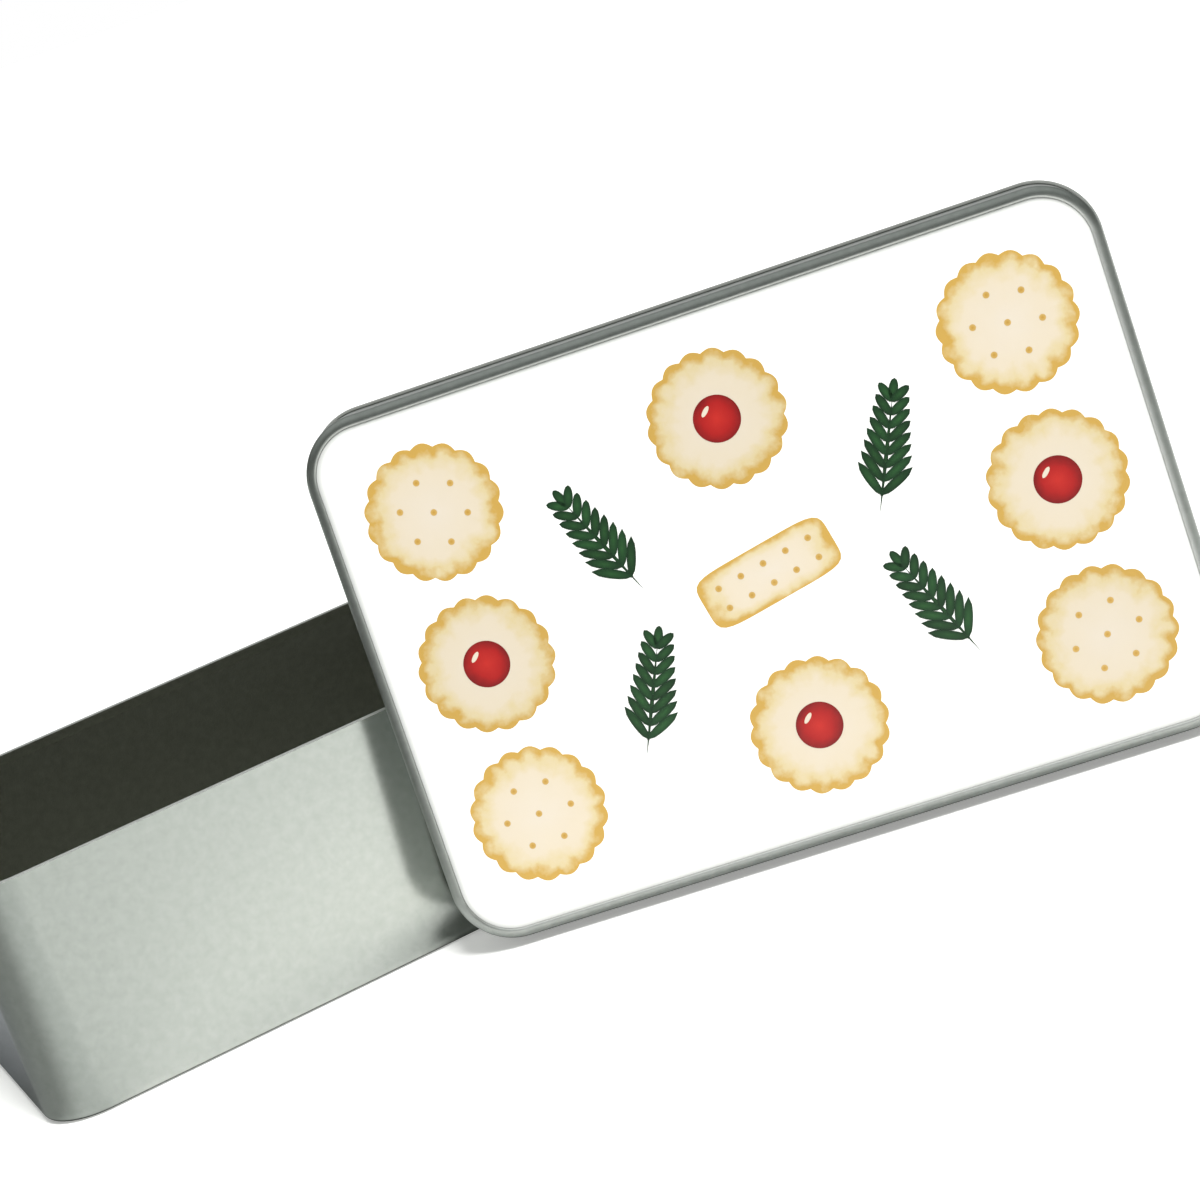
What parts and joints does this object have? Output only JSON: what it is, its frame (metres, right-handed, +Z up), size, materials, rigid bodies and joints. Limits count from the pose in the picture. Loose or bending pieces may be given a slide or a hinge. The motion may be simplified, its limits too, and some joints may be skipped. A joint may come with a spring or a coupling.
{
  "type": "biscuit tin",
  "caption": "Rectangular tinplate biscuit tin with rounded corners, opened: a deep base with a folded rim, and its slip-on lid with a white printed plate leaning beside it.",
  "frame": {"origin": "centre of the base's underside", "axes": "+X along the tin's length, towards the side where the lid stands; -Y is the front, where the lid leans; +Z up"},
  "size_m": [0.2891, 0.2354, 0.1331],
  "materials": {
    "base_tinplate": "satin tinplate, drawn",
    "lid_tinplate": "satin tinplate, drawn",
    "plate_coating": "white gloss coating with a print",
    "tape": "double-sided adhesive sheet"
  },
  "bodies": {
    "base": {"base_shell": "base_tinplate"},
    "lid": {"lid_shell": "lid_tinplate", "cover_plate": "plate_coating", "plate_tape": "tape"}
  },
  "joints": [
    {"name": "lid_lift", "type": "slide", "parent": "base", "child": "lid", "axis": [0, 0, 1], "range_m": [0, 0.08]}
  ]
}
